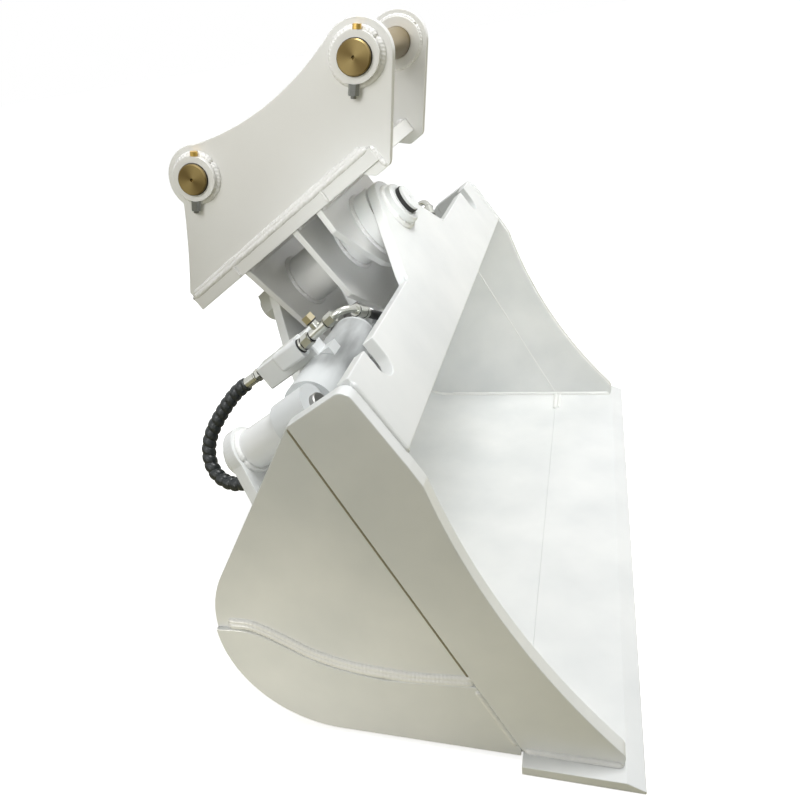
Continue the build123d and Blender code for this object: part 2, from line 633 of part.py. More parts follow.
# Guarded hose from the rear port of the block, looped behind the rear plate to the base port.
blockPort = Vector(rearPortX, portLevel, blockRear)
guardStart = blockPort + Vector(0, 0, -crimpLength - neckLength + 2)
basePort = Vector((anchorX - portBossInset), level, station - barrelRadius - 6)
baseStart = basePort + Vector(0, 0, -crimpLength)
guardPoints = [(430.0, portLevel, -438.0), (436.0, -80.0, -474.0), (446.0, -93.0, -514.0),
               (458.0, -110.0, -552.0), (471.0, -134.0, -580.0), (486.0, -165.0, -594.0),
               (500.0, -197.0, -590.0), (511.0, -224.0, -568.0), (517.0, -240.0, -534.0),
               (515.0, -237.0, -495.0), (510.0, -222.0, -461.0), (502.0, -202.0, -429.0),
               (494.0, -182.0, -402.0), (487.5, -168.0, -379.0), (486.0, -163.0, -358.0)]
guardPoints = [tuple(guardStart)] + scaled(guardPoints, anchorX - 625 * hoseUnit) + [tuple(baseStart)]
guardHose = hose("guarded", guardPoints, guardRadius)
for start, end in ((blockPort, guardStart), (basePort, baseStart)):
    neck = start + (end - start).normalized() * neckLength
    hoseEnds += hexAlong(teeNut + 1, tuple(start), tuple(neck)) + along(ferruleRadius, tuple(neck), tuple(end))

for name, shape in (("cylinder_barrel", barrel), ("cylinder_gland", gland), ("cylinder_piston", piston),
                    ("cylinder_rod", rod), ("rod_pin", rodPin), ("valve_block", block),
                    ("anchor_tube", tube + collar), ("anchor_pin", anchorPin), ("hose_ends", hoseEnds),
                    ("guarded_hose", guardHose)):
    saveTilt(name + "_right", shape)
    saveTilt(name + "_left", mirrorX(shape))
saveTilt("tee_fitting_right", Compound(children=[tee, teePlug]))
saveTilt("tee_fitting_left", Compound(children=[mirrorX(tee), mirrorX(teePlug)]))
saveTilt("crossover_hose", crossHose)
saveTilt("anchor_grease_fittings", Compound(children=[grease, mirrorX(grease)]))

shift = middle.position.Y
for name, at in (("tilt axis", fromTilt(0, 0, 0)), ("arm pin", fromTilt(0, armPin[1], armPin[0])),
                 ("link pin", fromTilt(0, linkPin[1], linkPin[0])),
                 ("anchor right", fromTilt(anchorX, level, station)),
                 ("rod pin right", fromTilt(rodPinX, level, station))):
    print(name, round(at.X, 3), round(at.Y + shift, 3), round(at.Z, 3))
print("axis", [round(v, 6) for v in tiltFrame.z_dir.to_tuple()], "shift", round(shift, 3))
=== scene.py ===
import math
import bmesh
import bpy
import numpy as np
from mathutils import Matrix, Vector


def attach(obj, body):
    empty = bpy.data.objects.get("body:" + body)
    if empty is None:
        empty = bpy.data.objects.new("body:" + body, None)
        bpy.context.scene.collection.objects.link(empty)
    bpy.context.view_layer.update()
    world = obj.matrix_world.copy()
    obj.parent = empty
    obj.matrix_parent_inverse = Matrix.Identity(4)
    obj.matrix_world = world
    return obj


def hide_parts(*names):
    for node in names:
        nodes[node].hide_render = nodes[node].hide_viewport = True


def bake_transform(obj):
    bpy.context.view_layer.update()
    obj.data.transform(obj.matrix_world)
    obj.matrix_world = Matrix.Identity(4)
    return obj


# Tilting ditching bucket in metres: X across, -Y out of the mouth, +Z up.
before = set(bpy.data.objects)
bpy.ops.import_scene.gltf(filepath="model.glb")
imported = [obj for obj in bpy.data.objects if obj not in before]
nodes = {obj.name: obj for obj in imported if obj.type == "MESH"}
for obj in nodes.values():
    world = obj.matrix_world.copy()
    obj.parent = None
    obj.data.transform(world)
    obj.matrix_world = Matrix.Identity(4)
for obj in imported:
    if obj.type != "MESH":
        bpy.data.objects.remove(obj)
print("frame loaded", len(nodes))

# The tilt frame: X across, level square to the tilt axis, station along it towards the mouth.
tiltSlope = math.radians(33)
tiltOrigin = np.array([0.0, -0.007566, 0.903])
tiltLevel = np.array([0.0, math.sin(tiltSlope), math.cos(tiltSlope)])
tiltStation = np.array([0.0, -math.cos(tiltSlope), math.sin(tiltSlope)])
bucketShift = -0.040566  # Y of the side view's zero

# Places in millimetres that several pieces share.
armAt, linkAt = (297.0, 151.0), (350.0, -294.0)  # level and station of the two machine pins
innerFace, outerFace, proudFace = 765.0, 790.0, 800.0  # X of a side's inner face, outer face and cutter's face
seamFoot, seamTop = np.array([-259.0, 20.0]), np.array([106.4, 707.5])  # Y, Z of the seam behind the side cutter
seamWay = (seamTop - seamFoot) / np.linalg.norm(seamTop - seamFoot)
baseTop, baseUnder = 147.0, 113.0  # levels of the hanger's base plate


def fromTilt(points):
    # tilt frame point in millimetres to metres: origin + level part + station part
    p = np.atleast_2d(np.asarray(points, float)) / 1000
    return tiltOrigin + p[:, :1] * (1, 0, 0) + p[:, 1:2] * tiltLevel + p[:, 2:3] * tiltStation


def fromSide(points):
    # X, Y, Z in millimetres, with Y counted from the side view's zero, to metres
    return np.atleast_2d(np.asarray(points, float)) / 1000 + (0, bucketShift, 0)


class Wire:
    # a shader socket that takes part in Python sums
    def __init__(self, shade, socket):
        self.shade, self.socket = shade, socket

    def join(self, operation, *values):
        return self.shade.node("ShaderNodeMath", {"operation": operation}, dict(enumerate(values)))

    def __add__(self, b): return self.join("ADD", self, b)
    def __radd__(self, a): return self.join("ADD", a, self)
    def __sub__(self, b): return self.join("SUBTRACT", self, b)
    def __rsub__(self, a): return self.join("SUBTRACT", a, self)
    def __mul__(self, b): return self.join("MULTIPLY", self, b)
    def __rmul__(self, a): return self.join("MULTIPLY", a, self)
    def __truediv__(self, b): return self.join("DIVIDE", self, b)
    def __rtruediv__(self, a): return self.join("DIVIDE", a, self)
    def __abs__(self): return self.join("ABSOLUTE", self)
    def sine(self): return self.join("SINE", self)
    def larger(self, b): return self.join("MAXIMUM", self, b)


class Shade:
    # the nodes of a material or of the world; fixed values go on its shader's own sockets
    def __init__(self, name, fixed, world=False):
        self.holder = (bpy.data.worlds if world else bpy.data.materials).new(name)
        self.holder.use_nodes = True
        self.tree = self.holder.node_tree
        self.shader = self.tree.nodes["Background" if world else "Principled BSDF"]
        for key, value in fixed.items():
            self.shader.inputs[key].default_value = value

    def node(self, kind, settings, sockets, out=0):
        # any node: its type, its settings, then the values or links of its sockets
        made = self.tree.nodes.new(kind)
        for key, value in settings.items():
            setattr(made, key, value)
        for key, value in sockets.items():
            if isinstance(value, Wire):
                self.tree.links.new(value.socket, made.inputs[key])
            else:
                made.inputs[key].default_value = value
        return Wire(self, made.outputs[out])

    def into(self, key, wire):
        self.tree.links.new(wire.socket, self.shader.inputs[key])

    def place(self, kind="Object"):
        return self.node("ShaderNodeTexCoord", {}, {}, kind)

    def split(self, vector):
        first = self.node("ShaderNodeSeparateXYZ", {}, {0: vector})
        return [Wire(self, socket) for socket in first.socket.node.outputs]

    def noise(self, scale, detail=2.0, vector=None):
        sockets = {"Vector": vector or self.place(), "Scale": scale, "Detail": detail}
        return self.node("ShaderNodeTexNoise", {}, sockets)

    def blend(self, factor, first, second):
        return self.node("ShaderNodeMix", {"data_type": "RGBA"}, {0: factor, 6: first, 7: second}, 2)

    def spread(self, value, low, high):
        # 0 below low, 1 above high
        return self.node("ShaderNodeMapRange", {}, {0: value, 1: low, 2: high})

    def bump(self, height, distance):
        made = self.node("ShaderNodeBump", {}, {"Strength": 1.0, "Distance": distance, "Height": height})
        self.into("Normal", made)


def tone(r, g, b):
    # screen colour 0 to 255 to linear light
    c = np.array([r, g, b]) / 255
    return (*np.where(c < 0.04045, c / 12.92, ((c + 0.055) / 1.055) ** 2.4), 1.0)


# Gloss paints: light and dark colour of faint patches of painted sheen (the uneven reflection of the gloss laid
# into the colour), and the patches' scale, over a fine orange peel.
paintLook = {"bucketPaint": (tone(239, 240, 238), tone(226, 228, 227), 4.5),
             "hangerPaint": (tone(239, 239, 236), tone(234, 233, 229), 3.0),
             "cylinderPaint": (tone(236, 238, 238), tone(229, 232, 232), 3.0),
             "roughness": 0.32, "coat": 0.25, "coatRoughness": 0.12,
             "patchFrom": 0.35, "patchTo": 0.7, "peel": 0.00004, "peelScale": 260.0}


def enamel(name, look):
    # clear-coated paint over a fine orange peel
    made = Shade(name, {"Roughness": look["roughness"], "Coat Weight": look["coat"],
                        "Coat Roughness": look["coatRoughness"]})
    made.bump(made.noise(paintLook["peelScale"], 1.0), paintLook["peel"])
    return made


def sheenPatchedPaint(name):
    # painted sheen: the light colour passes into the dark one where a broad noise is high
    light, dark, scale = paintLook[name]
    made = enamel(name, paintLook)
    paintedSheenPatches = made.spread(made.noise(scale, 4.0), paintLook["patchFrom"], paintLook["patchTo"])
    made.into("Base Color", made.blend(paintedSheenPatches, light, dark))
    return made


bucketPaint = sheenPatchedPaint("bucketPaint")
hangerPaint = sheenPatchedPaint("hangerPaint")
cylinderPaint = sheenPatchedPaint("cylinderPaint")

# Barrels: the paint turns grey towards the rod end, in streaks along the tube.
barrelLook = {"clean": tone(216, 219, 219), "rubbed": tone(132, 134, 134), "from": 0.57, "to": 0.45, "share": 0.9,
              "streakScale": 14.0, "streakStretch": (0.22, 1.0, 1.0), "streakFrom": 0.36, "streakTo": 0.6,
              "roughness": 0.36, "coat": 0.2, "coatRoughness": 0.15}


def greyingPaint(name):
    # grey = nearness to the middle of the bucket * streaks stretched along X * share
    made = enamel(name, barrelLook)
    x = made.split(made.place())[0]
    rubbed = made.spread(0.0 - abs(x), -barrelLook["from"], -barrelLook["to"])
    stretched = made.node("ShaderNodeMapping", {}, {"Vector": made.place(), "Scale": barrelLook["streakStretch"]})
    streaks = made.spread(made.noise(barrelLook["streakScale"], 4.0, stretched),
                          barrelLook["streakFrom"], barrelLook["streakTo"])
    made.into("Base Color", made.blend(rubbed * streaks * barrelLook["share"], barrelLook["clean"],
                                       barrelLook["rubbed"]))
    return made


barrelPaint = greyingPaint("barrelPaint")

# Turned ends of the machine pins, with a painted sheen: light and dark sectors stand in for the reflection of the
# turning marks.
pinSheenLook = {"light": tone(158, 139, 94), "dark": tone(112, 95, 60), "roughness": 0.31, "from": -0.35, "to": 0.6,
           "waver": 0.2, "waverScale": 30.0, "even": 0.000004}


def pinWithPaintedSheen(name, level, station):
    # painted highlight: two light and two dark sectors round the pin's axis stand in for the turned face's sheen;
    # dy * dz over the squared distance, even in the middle
    made = Shade(name, {"Metallic": 1.0, "Roughness": pinSheenLook["roughness"]})
    y, z = made.split(made.place())[1:]
    centreY, centreZ = fromTilt([(0, level, station)])[0, 1:].tolist()
    dy, dz = y - centreY, z - centreZ
    sector = dy * dz / (dy * dy + dz * dz + pinSheenLook["even"])
    waver = made.noise(pinSheenLook["waverScale"]) * pinSheenLook["waver"]
    paintedSheenDark = made.spread(sector + waver, pinSheenLook["from"], pinSheenLook["to"])
    made.into("Base Color", made.blend(paintedSheenDark, pinSheenLook["light"], pinSheenLook["dark"]))
    return made


armPinSteel = pinWithPaintedSheen("armPinSteel", *armAt)
linkPinSteel = pinWithPaintedSheen("linkPinSteel", *linkAt)

# Metals in two colours: low and high one, parted where the height over a point passes the band. Point and way
# are Y and Z. The keeper bolts are yellow above the line through both pins, and the tee's plug is brass.
partedLook = {"boltGold": {"low": tone(120, 120, 116), "high": tone(214, 180, 104), "roughness": 0.34,
                           "point": (0.0276, 1.2343), "way": (0.4923, 1.0), "band": (-0.001, 0.001)},
              "teeMetal": {"low": tone(196, 197, 190), "high": tone(206, 196, 166), "roughness": 0.28,
                           "point": tiltOrigin[1:].tolist(), "way": tiltLevel[1:].tolist(),
                           "band": (-0.0446, -0.0440)}}


def partedMetal(name):
    # height = (point to surface) along way
    look = partedLook[name]
    made = Shade(name, {"Metallic": 1.0, "Roughness": look["roughness"]})
    y, z = made.split(made.place())[1:]
    height = (y - look["point"][0]) * look["way"][0] + (z - look["point"][1]) * look["way"][1]
    made.into("Base Color", made.blend(made.spread(height, *look["band"]), look["low"], look["high"]))
    return made


boltGold = partedMetal("boltGold")
teeMetal = partedMetal("teeMetal")

# Simple finishes: colour, metallic, roughness and the height of a fine grain.
simpleLook = {"anchorSteel": (tone(150, 150, 147), 1.0, 0.4, 0.00003),
              "machinedSteel": (tone(186, 187, 186), 1.0, 0.3, 0.0),
              "rodChrome": (tone(225, 227, 230), 1.0, 0.1, 0.0),
              "bushBronze": (tone(200, 165, 100), 1.0, 0.35, 0.0),
              "nutSteel": (tone(134, 136, 134), 1.0, 0.3, 0.00003),
              "fittingBrass": (tone(168, 146, 96), 1.0, 0.36, 0.0),
              "fittingZinc": (tone(196, 197, 190), 1.0, 0.26, 0.0),
              "guardPlastic": (tone(40, 45, 46), 0.0, 0.3, 0.0),
              "hoseRubber": (tone(30, 30, 31), 0.0, 0.45, 0.0),
              # colour of the painted shadow laid beside the side cutter's edge
              "seamShade": (tone(150, 144, 124), 0.0, 0.7, 0.0),
              "sealRubber": (tone(40, 40, 40), 0.0, 0.6, 0.0)}
grainScale = 400.0
simple = {}
for name, (colour, metallic, roughness, grain) in simpleLook.items():
    simple[name] = Shade(name, {"Base Color": colour, "Metallic": metallic, "Roughness": roughness})
    if grain:
        simple[name].bump(simple[name].noise(grainScale, 3.0), grain)

# Weld beads carry their length and turn in metres and radians in the UV map, for the ripples.
weldLook = {"bucketWeld": (tone(243, 243, 240), 0.00017), "hangerWeld": (tone(242, 241, 238), 0.00034),
            "pitch": 0.0078, "bow": 1.4, "waver": 5.0, "waverScale": 40.0,
            "roughness": 0.28, "coat": 0.3, "coatRoughness": 0.12}


def weldPaint(name):
    # ripple height: sine of length over pitch, bowed by the turn squared, plus a waver
    colour, height = weldLook[name]
    made = Shade(name, {"Base Color": colour, "Roughness": weldLook["roughness"], "Coat Weight": weldLook["coat"],
                        "Coat Roughness": weldLook["coatRoughness"]})
    u, v = made.split(made.place("UV"))[:2]
    crescent = u * (2 * math.pi / weldLook["pitch"]) + v * v * weldLook["bow"]
    waver = made.noise(weldLook["waverScale"]) * weldLook["waver"]
    made.bump((crescent + waver).sine(), height)
    return made


bucketWeld = weldPaint("bucketWeld")
hangerWeld = weldPaint("hangerWeld")

# Which node names take which finish; every other node has the bucket's paint.
nodeLooks = [(hangerPaint, ("hanger", "rear_rib", "middle_rib", "front_rib", "hub_tube", "arm_boss",
                            "link_boss")),
             (armPinSteel, "arm_pin"), (linkPinSteel, "link_pin"),
             (simple["anchorSteel"], ("anchor_pin", "rod_pin")),
             (simple["rodChrome"], "cylinder_rod"), (barrelPaint, "cylinder_barrel"),
             (cylinderPaint, ("cylinder_gland", "valve_block")),
             (simple["machinedSteel"], ("cylinder_piston", "front_thrust", "rear_thrust")),
             (simple["nutSteel"], "keeper_nuts"), (simple["bushBronze"], ("front_bush", "rear_bush")),
             (boltGold, "keeper_bolts"), (simple["fittingBrass"], "anchor_grease"), (teeMetal, "tee_fitting"),
             (simple["fittingZinc"], "hose_ends"), (simple["guardPlastic"], "guarded_hose"),
             (simple["hoseRubber"], "crossover_hose"), (simple["sealRubber"], "tilt_pin_seal")]
for name, node in nodes.items():
    look = next((m for m, starts in nodeLooks if name.startswith(starts)), bucketPaint)
    node.data.materials.clear()
    node.data.materials.append(look.holder)
print("finishes on the CAD nodes")

# Rounded edges: width for each kind of plate, and angles in degrees that count as flat and as a corner.
edgeLook = {"merge": 2e-6, "flat": 0.6, "corner": 40, "segments": 2,
            "bucket": {"side_cutter": 0.002, "side_plate": 0.0015, "cutting_lip": 0.0015, "front_plate": 0.002,
                       "rear_plate": 0.002, "heel_plate": 0.002},
            "barrel": {"valve_block": 0.0025},
            "hanger": {"hanger_base": 0.0018, "hanger_ear": 0.0022, "rear_rib": 0.0018, "middle_rib": 0.0018,
                       "front_rib": 0.0018, "arm_boss": 0.0018, "link_boss": 0.0018}}


def softened(nodeName, body, look, width):
    # copy of a plate with rounded edges: doubles merged, flat faces joined, then a bevel of that width
    first, *rest = nodeName.split("_")
    mesh = nodes[nodeName].data.copy()
    made = bpy.data.objects.new(first + "".join(word.title() for word in rest) + "Soft", mesh)
    bpy.context.scene.collection.objects.link(made)
    work = bmesh.new()
    work.from_mesh(mesh)
    bmesh.ops.remove_doubles(work, verts=work.verts, dist=edgeLook["merge"])
    bmesh.ops.dissolve_limit(work, angle_limit=math.radians(edgeLook["flat"]), verts=work.verts, edges=work.edges)
    work.to_mesh(mesh)
    work.free()
    mesh.materials.clear()
    mesh.materials.append(look.holder)
    mesh.polygons.foreach_set("use_smooth", np.zeros(len(mesh.polygons), dtype=bool))
    bevel = made.modifiers.new("roundedEdges", "BEVEL")
    bevel.width, bevel.segments = width, edgeLook["segments"]
    bevel.limit_method, bevel.angle_limit = "ANGLE", math.radians(edgeLook["corner"])
    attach(made, body)
    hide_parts(nodeName)


for part, paint in (("bucket", bucketPaint), ("barrel", cylinderPaint), ("hanger", hangerPaint)):
    for start, width in edgeLook[part].items():
        for name in [n for n in nodes if n.startswith(start)]:
            body = name.split("_")[-1] + "_barrel" if part == "barrel" else part
            softened(name, body, paint, width)
print("plates with rounded edges")


def meshPiece(name, verts, faces, look, uv=None):
    # smooth piece from its points and faces, with one pair of uv for each point
    mesh = bpy.data.meshes.new(name)
    mesh.from_pydata(verts.tolist(), [], faces)
    mesh.polygons.foreach_set("use_smooth", np.ones(len(mesh.polygons), dtype=bool))
    if uv is not None:
        corners = np.empty(len(mesh.loops), dtype=np.int32)
        mesh.loops.foreach_get("vertex_index", corners)
        layer = mesh.uv_layers.new(name="UVMap")
        layer.data.foreach_set("uv", np.asarray(uv, np.float32)[corners].ravel())
    mesh.materials.append(look.holder)
    made = bpy.data.objects.new(name, mesh)
    bpy.context.scene.collection.objects.link(made)
    return made


def resample(path, step):
    # points at equal steps along a polyline, and their lengths along it
    path = np.asarray(path, float)
    run = np.r_[0, np.cumsum(np.linalg.norm(np.diff(path, axis=0), axis=1))]
    at = np.linspace(0, run[-1], max(3, int(run[-1] / step) + 1))
    return np.stack([np.interp(at, run, path[:, i]) for i in range(3)], 1), at


def anglesRound(sides):
    # equal steps round a circle, its start not repeated
    return np.linspace(0, 2 * np.pi, sides, endpoint=False)


def sweep(p, side, r):
    # ring round each path point: p + r (cos a * side + sin a * across), side square to the path, both ends closed
    t = np.gradient(p, axis=0)
    t /= np.linalg.norm(t, axis=1)[:, None]
    side = np.broadcast_to(np.asarray(side, float), p.shape)
    side = side - (side * t).sum(1)[:, None] * t
    side /= np.linalg.norm(side, axis=1)[:, None]
    across = np.cross(t, side)
    n, sides = r.shape
    a = anglesRound(sides)[None, :, None]
    ring = p[:, None] + r[..., None] * (np.cos(a) * side[:, None] + np.sin(a) * across[:, None])
    i, j = np.meshgrid(np.arange(n - 1), np.arange(sides), indexing="ij")
    k = (j + 1) % sides
    quads = np.stack([i * sides + j, i * sides + k, (i + 1) * sides + k, (i + 1) * sides + j], -1).reshape(-1, 4)
    caps = np.stack([np.arange(sides)[::-1], np.arange((n - 1) * sides, n * sides)])
    return ring.reshape(-1, 3), quads, caps


# Weld beads: sides and step of the mesh, how their ends taper shut, and points round a ring or a seal ring.
beadLook = {"sides": 10, "step": 0.004, "taper": 1.2, "blunt": 0.15, "ringPoints": 72, "sealPoints": 49}


def beads(name, parts, look, body):
    # several beads joined in one piece; each part is a path, a radius and the way the bead faces
    verts, faces, uvs, base = [], [], [], 0
    sides = beadLook["sides"]
    a = anglesRound(sides)
    for path, radius, side in parts:
        p, at = resample(path, beadLook["step"])
        ends = np.minimum(at, at[-1] - at) / (beadLook["taper"] * radius) + beadLook["blunt"]
        r = radius * np.clip(ends, 0, 1) ** 0.5
        points, quads, caps = sweep(p, side, np.repeat(r[:, None], sides, axis=1))
        verts.append(points)
        faces += (quads + base).tolist() + (caps + base).tolist()
        uvs.append(np.stack([np.repeat(at, sides), np.tile(np.minimum(a, 2 * np.pi - a), len(p))], 1))
        base += len(points)
    made = meshPiece(name, np.concatenate(verts), faces, look, np.concatenate(uvs))
    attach(made, body)


def mirrored(parts):
    # the beads of the left and right side from those of the right side
    flip = np.array([-1.0, 1.0, 1.0])
    return parts + [(np.asarray(p) * flip, r, np.asarray(s, float) * flip) for p, r, s in parts]


def tiltPoints(x, level, station):
    # tilt frame points in metres, from numbers and arrays of one length
    return fromTilt(np.stack(np.broadcast_arrays(x, level, station), 1))


def ringRoundTilt(x, level, station, radius):
    # circle square to the tilt axis
    a = np.radians(np.linspace(0, 360, beadLook["ringPoints"]))
    return tiltPoints(x + radius * np.cos(a), level + radius * np.sin(a), station)


def ringRoundX(x, level, station, radius):
    # circle square to X
    a = np.radians(np.linspace(0, 360, beadLook["ringPoints"]))
    return tiltPoints(x, level + radius * np.sin(a), station + radius * np.cos(a))


def sideLine(x, points):
    # side-view points at one X
    return fromSide([(x, y, z) for y, z in points])


def alongSeam(x, steps, shift):
    # points at steps up the seam behind the side cutter, shifted in the side view
    return sideLine(x, [seamFoot + seamWay * step + shift for step in steps])


def curveThrough(points, count):
    # Catmull-Rom curve through side-view points: four neighbours, weighted by powers of the way from the second
    # to the third
    points = np.array(points, float)
    p = np.vstack([2 * points[0] - points[1], points, 2 * points[-1] - points[-2]])
    t = np.linspace(0, len(points) - 1, count)[:, None]
    i = np.minimum(t.astype(int), len(points) - 2)
    t = t - i
    a, b, c, d = (p[(i + k)[:, 0]] for k in range(4))
    return 0.5 * (2 * b + (c - a) * t + (2 * a - 5 * b + 4 * c - d) * t ** 2 + (3 * b - a - 3 * c + d) * t ** 3)


# Outside of the sides: the heel plate's bead in two passes, the foot of the seam and the side of the lip.
heelLook = {"line": [(309, 245), (292, 244), (260, 244), (221, 230), (180, 210), (141, 190), (101, 177),
                     (62, 168), (22, 163), (-26, 160), (-75, 159), (-176, 167)],
            "linePoints": 160, "firstPass": 0.0088, "secondPass": 0.00792, "seam": 0.0058, "lip": 0.0072}
heelLine = curveThrough(heelLook["line"], heelLook["linePoints"])
heelBeads = [(sideLine(outerFace + 0.5, heelLine + (0, 3.0)), heelLook["firstPass"], (1, 0, 0.6)),
             (sideLine(outerFace - 1.5, heelLine + (0, 11.0)), heelLook["secondPass"], (1, 0, 0.6)),
             (alongSeam(proudFace - 2.0, (14, 60, 110, 158), (5.5, 0)), heelLook["seam"], (1, 0, 0)),
             (sideLine(proudFace - 1.5, [(-433, 23), (-380, 23.5), (-320, 23), (-262, 23.5)]), heelLook["lip"],
              (1, 0, 0))]
beads("heelBeads", mirrored(heelBeads), bucketWeld, "bucket")

# Inside of the bucket: the pair along the floor and up the back, the side seams, and the ends of the lip seam.
insideLook = {"floorLine": [(-430, 20), (-259, 20), (-80, 20)], "bendCentre": (98, 246), "bendRadius": 226,
              "bendPoints": 40, "backWay": (-0.5, 0.8660), "backLength": 70, "floor": 0.0062, "corner": 0.0065,
              "seam": 0.0022, "lipFirstPass": 0.0075, "lipSecondPass": 0.005,
              "firstRoute": [(761, -259, 19.6), (705, -259, 19.8), (649, -259, 19.6)],
              "secondRoute": [(761, -271, 19.4), (710, -271, 19.5), (659, -271, 19.3)]}
bendTurn = np.radians(np.linspace(-90, 30, insideLook["bendPoints"]))
bend = insideLook["bendCentre"] + insideLook["bendRadius"] * np.stack([np.cos(bendTurn), np.sin(bendTurn)], 1)
backTop = bend[-1] + np.array(insideLook["backWay"]) * insideLook["backLength"]
floorLine = np.vstack([insideLook["floorLine"], bend, backTop])
insideBeads = [(sideLine(innerFace - 2.0, floorLine[:4] + (2, 3)), insideLook["floor"], (-1, 0, 1)),
               (sideLine(innerFace - 2.5, floorLine), insideLook["corner"], (-1, 0, 0.4)),
               (alongSeam(innerFace + 0.8, (8, 200, 420, 640), (0, 0)), insideLook["seam"], (-1, 0, 0)),
               (fromSide(insideLook["firstRoute"]), insideLook["lipFirstPass"], (0, 0, 1)),
               (fromSide(insideLook["secondRoute"]), insideLook["lipSecondPass"], (0, 0, 1))]
beads("insideBeads", mirrored(insideBeads), bucketWeld, "bucket")
lipUnder = {"route": [(-760, -257, 10), (0, -257, 10.4), (760, -257, 10)], "bead": 0.006}
beads("lipUnderBead", [(fromSide(lipUnder["route"]), lipUnder["bead"], (0, 0.7, -0.7))], bucketWeld, "bucket")

# Front plate: fillets to the cutters on both faces, the deck's edge behind it, the end of each shoulder's slot.
# Each row is a route in the tilt frame, a radius and the way the bead faces.
frontLook = [([(763, -131, -38), (762.5, -200, -37.5), (763, -285, -38)], 0.0068, (-1, -0.6, 0.5)),
             ([(763, -131, -64), (763, -200, -64.5), (763, -268, -64)], 0.0068, (-1, 0.6, -0.5)),
             ([(761, -271, -90), (761, -270, -200), (761, -270.5, -380)], 0.006, (-1, 0.5, 0.8)),
             ([(238, -111, -40), (244, -117, -40), (252, -122, -40)], 0.005, (0.4, 0.6, 0.7))]
frontBeads = [(fromTilt(route), radius, facing) for route, radius, facing in frontLook]
beads("frontBeads", mirrored(frontBeads), bucketPaint, "bucket")

# Feet of the front and rear plate along the deck, on both faces, and the rings round the bosses of the tilt pin.
footLook = {"front": [([(-755, -271, -64.5), (0, -270.5, -65), (755, -271, -64.5)], 0.0075, (0, 1, -1)),
                      ([(-755, -284, -60), (0, -284.4, -60), (755, -284, -60)], 0.006, (0, -1, -0.6))],
            "rear": [([(-600, -271, -379), (0, -270, -378.5), (600, -271, -379)], 0.0075, (0, 1, 1)),
                     ([(-660, -269, -406.5), (0, -268.5, -407), (660, -269, -406.5)], 0.0075, (0, 1, -1))],
            "bossRing": 54.5, "bosses": [(-35.2, 0.0075, (0, -0.84, 0.54)), (-406.6, 0.0085, (0, 0.84, -0.54))]}
frontFoot, rearFoot = ([(fromTilt(route), radius, facing) for route, radius, facing in footLook[plate]]
                       for plate in ("front", "rear"))
bossRings = [(ringRoundTilt(0, 0, station, footLook["bossRing"]), radius, facing)
             for station, radius, facing in footLook["bosses"]]
beads("footBeads", frontFoot + bossRings + rearFoot, bucketWeld, "bucket")

# Rings round the anchor tubes on both faces of the rear plate.
anchorLook = {"x": 625.0, "level": -163.0, "faces": ((-378.2, 1), (-406.8, -1)), "ring": 43.5, "bead": 0.0062}
anchorBeads = [(ringRoundTilt(anchorLook["x"], anchorLook["level"], station, anchorLook["ring"]),
                anchorLook["bead"], (0, 0, toward)) for station, toward in anchorLook["faces"]]
beads("anchorBeads", mirrored(anchorBeads), bucketWeld, "bucket")

# Ears of the hanger: uneven fillets at the foot, two passes on the outside, and rings round bosses and collars.
earLook = {"inner": 181.0, "outer": 206.0, "foot": 0.0082, "secondPass": 0.0076, "edge": 0.006,
           "footStart": -506, "footStep": 14, "footPoints": 41, "unevenFirst": 0.4, "turnFirst": 1.7,
           "unevenSecond": 0.3, "turnSecond": 1.3,
           "frontEdge": [(205, 93, 64), (205, 109, 63), (205, 127, 62.5), (205, 147, 63)],
           "rearEdge": [(194, 147.5, -511), (210, 147.5, -510)],
           "bossRing": 52.5, "bossBead": 0.0075, "collarRing": 59, "collarBead": 0.0042}
footCount = np.arange(earLook["footPoints"])
footStation = earLook["footStart"] + footCount * earLook["footStep"]
firstLevel = baseTop + 1.5 + earLook["unevenFirst"] * np.sin(footCount * earLook["turnFirst"])
secondLevel = baseTop + 9 + earLook["unevenSecond"] * np.cos(footCount[:-1] * earLook["turnSecond"])
earBeads = [(tiltPoints(earLook["outer"] + 2.2, firstLevel, footStation), earLook["foot"], (0.8, 0.5, 0.3)),
            (tiltPoints(earLook["outer"] - 0.5, secondLevel, footStation[:-1] + 4), earLook["secondPass"],
             (0.8, 0.5, 0.3)),
            (tiltPoints(earLook["inner"] - 2, baseTop + 1.5, footStation), earLook["foot"], (-0.8, 0.5, 0.3)),
            (fromTilt(earLook["frontEdge"]), earLook["edge"], (0.7, 0, 0.7)),
            (fromTilt(earLook["rearEdge"]), earLook["edge"], (0, 0.5, -0.8))]
for pinAt in (armAt, linkAt):
    earBeads += [(ringRoundX(earLook["outer"] + 0.5, *pinAt, earLook["bossRing"]), earLook["bossBead"],
                  (1, 0, 0)),
                 (ringRoundX(earLook["inner"] - 0.5, *pinAt, earLook["collarRing"]), earLook["collarBead"],
                  (-1, 0, 0))]
beads("earBeads", mirrored(earBeads), hangerWeld, "hanger")

# Ribs of the hanger, each with a ring on the hub and a fillet under the base on both its faces.
hubLook = {"ribs": ((-109.0, -124.0), (-184.0, -199.0), (-343.0, -358.0)), "radius": 66.0, "housingRadius": 82.0,
           "housingEnd": -109.0, "reach": 196, "clear": 1.5, "bead": 0.0062}
hubBeads = []
for rib in hubLook["ribs"]:
    for face, toward in zip(rib, (1.0, -1.0)):
        radius = hubLook["housingRadius"] if face == hubLook["housingEnd"] else hubLook["radius"]
        at = face + toward * hubLook["clear"]
        underBase = [(-hubLook["reach"], baseUnder - 1, at), (0, baseUnder - 1.5, at),
                     (hubLook["reach"], baseUnder - 1, at)]
        hubBeads += [(ringRoundTilt(0, 0, at, radius + hubLook["clear"]), hubLook["bead"], toward * tiltStation),
                     (fromTilt(underBase), hubLook["bead"], toward * tiltStation - tiltLevel)]
beads("hubBeads", hubBeads, hangerWeld, "hanger")
print("weld beads")
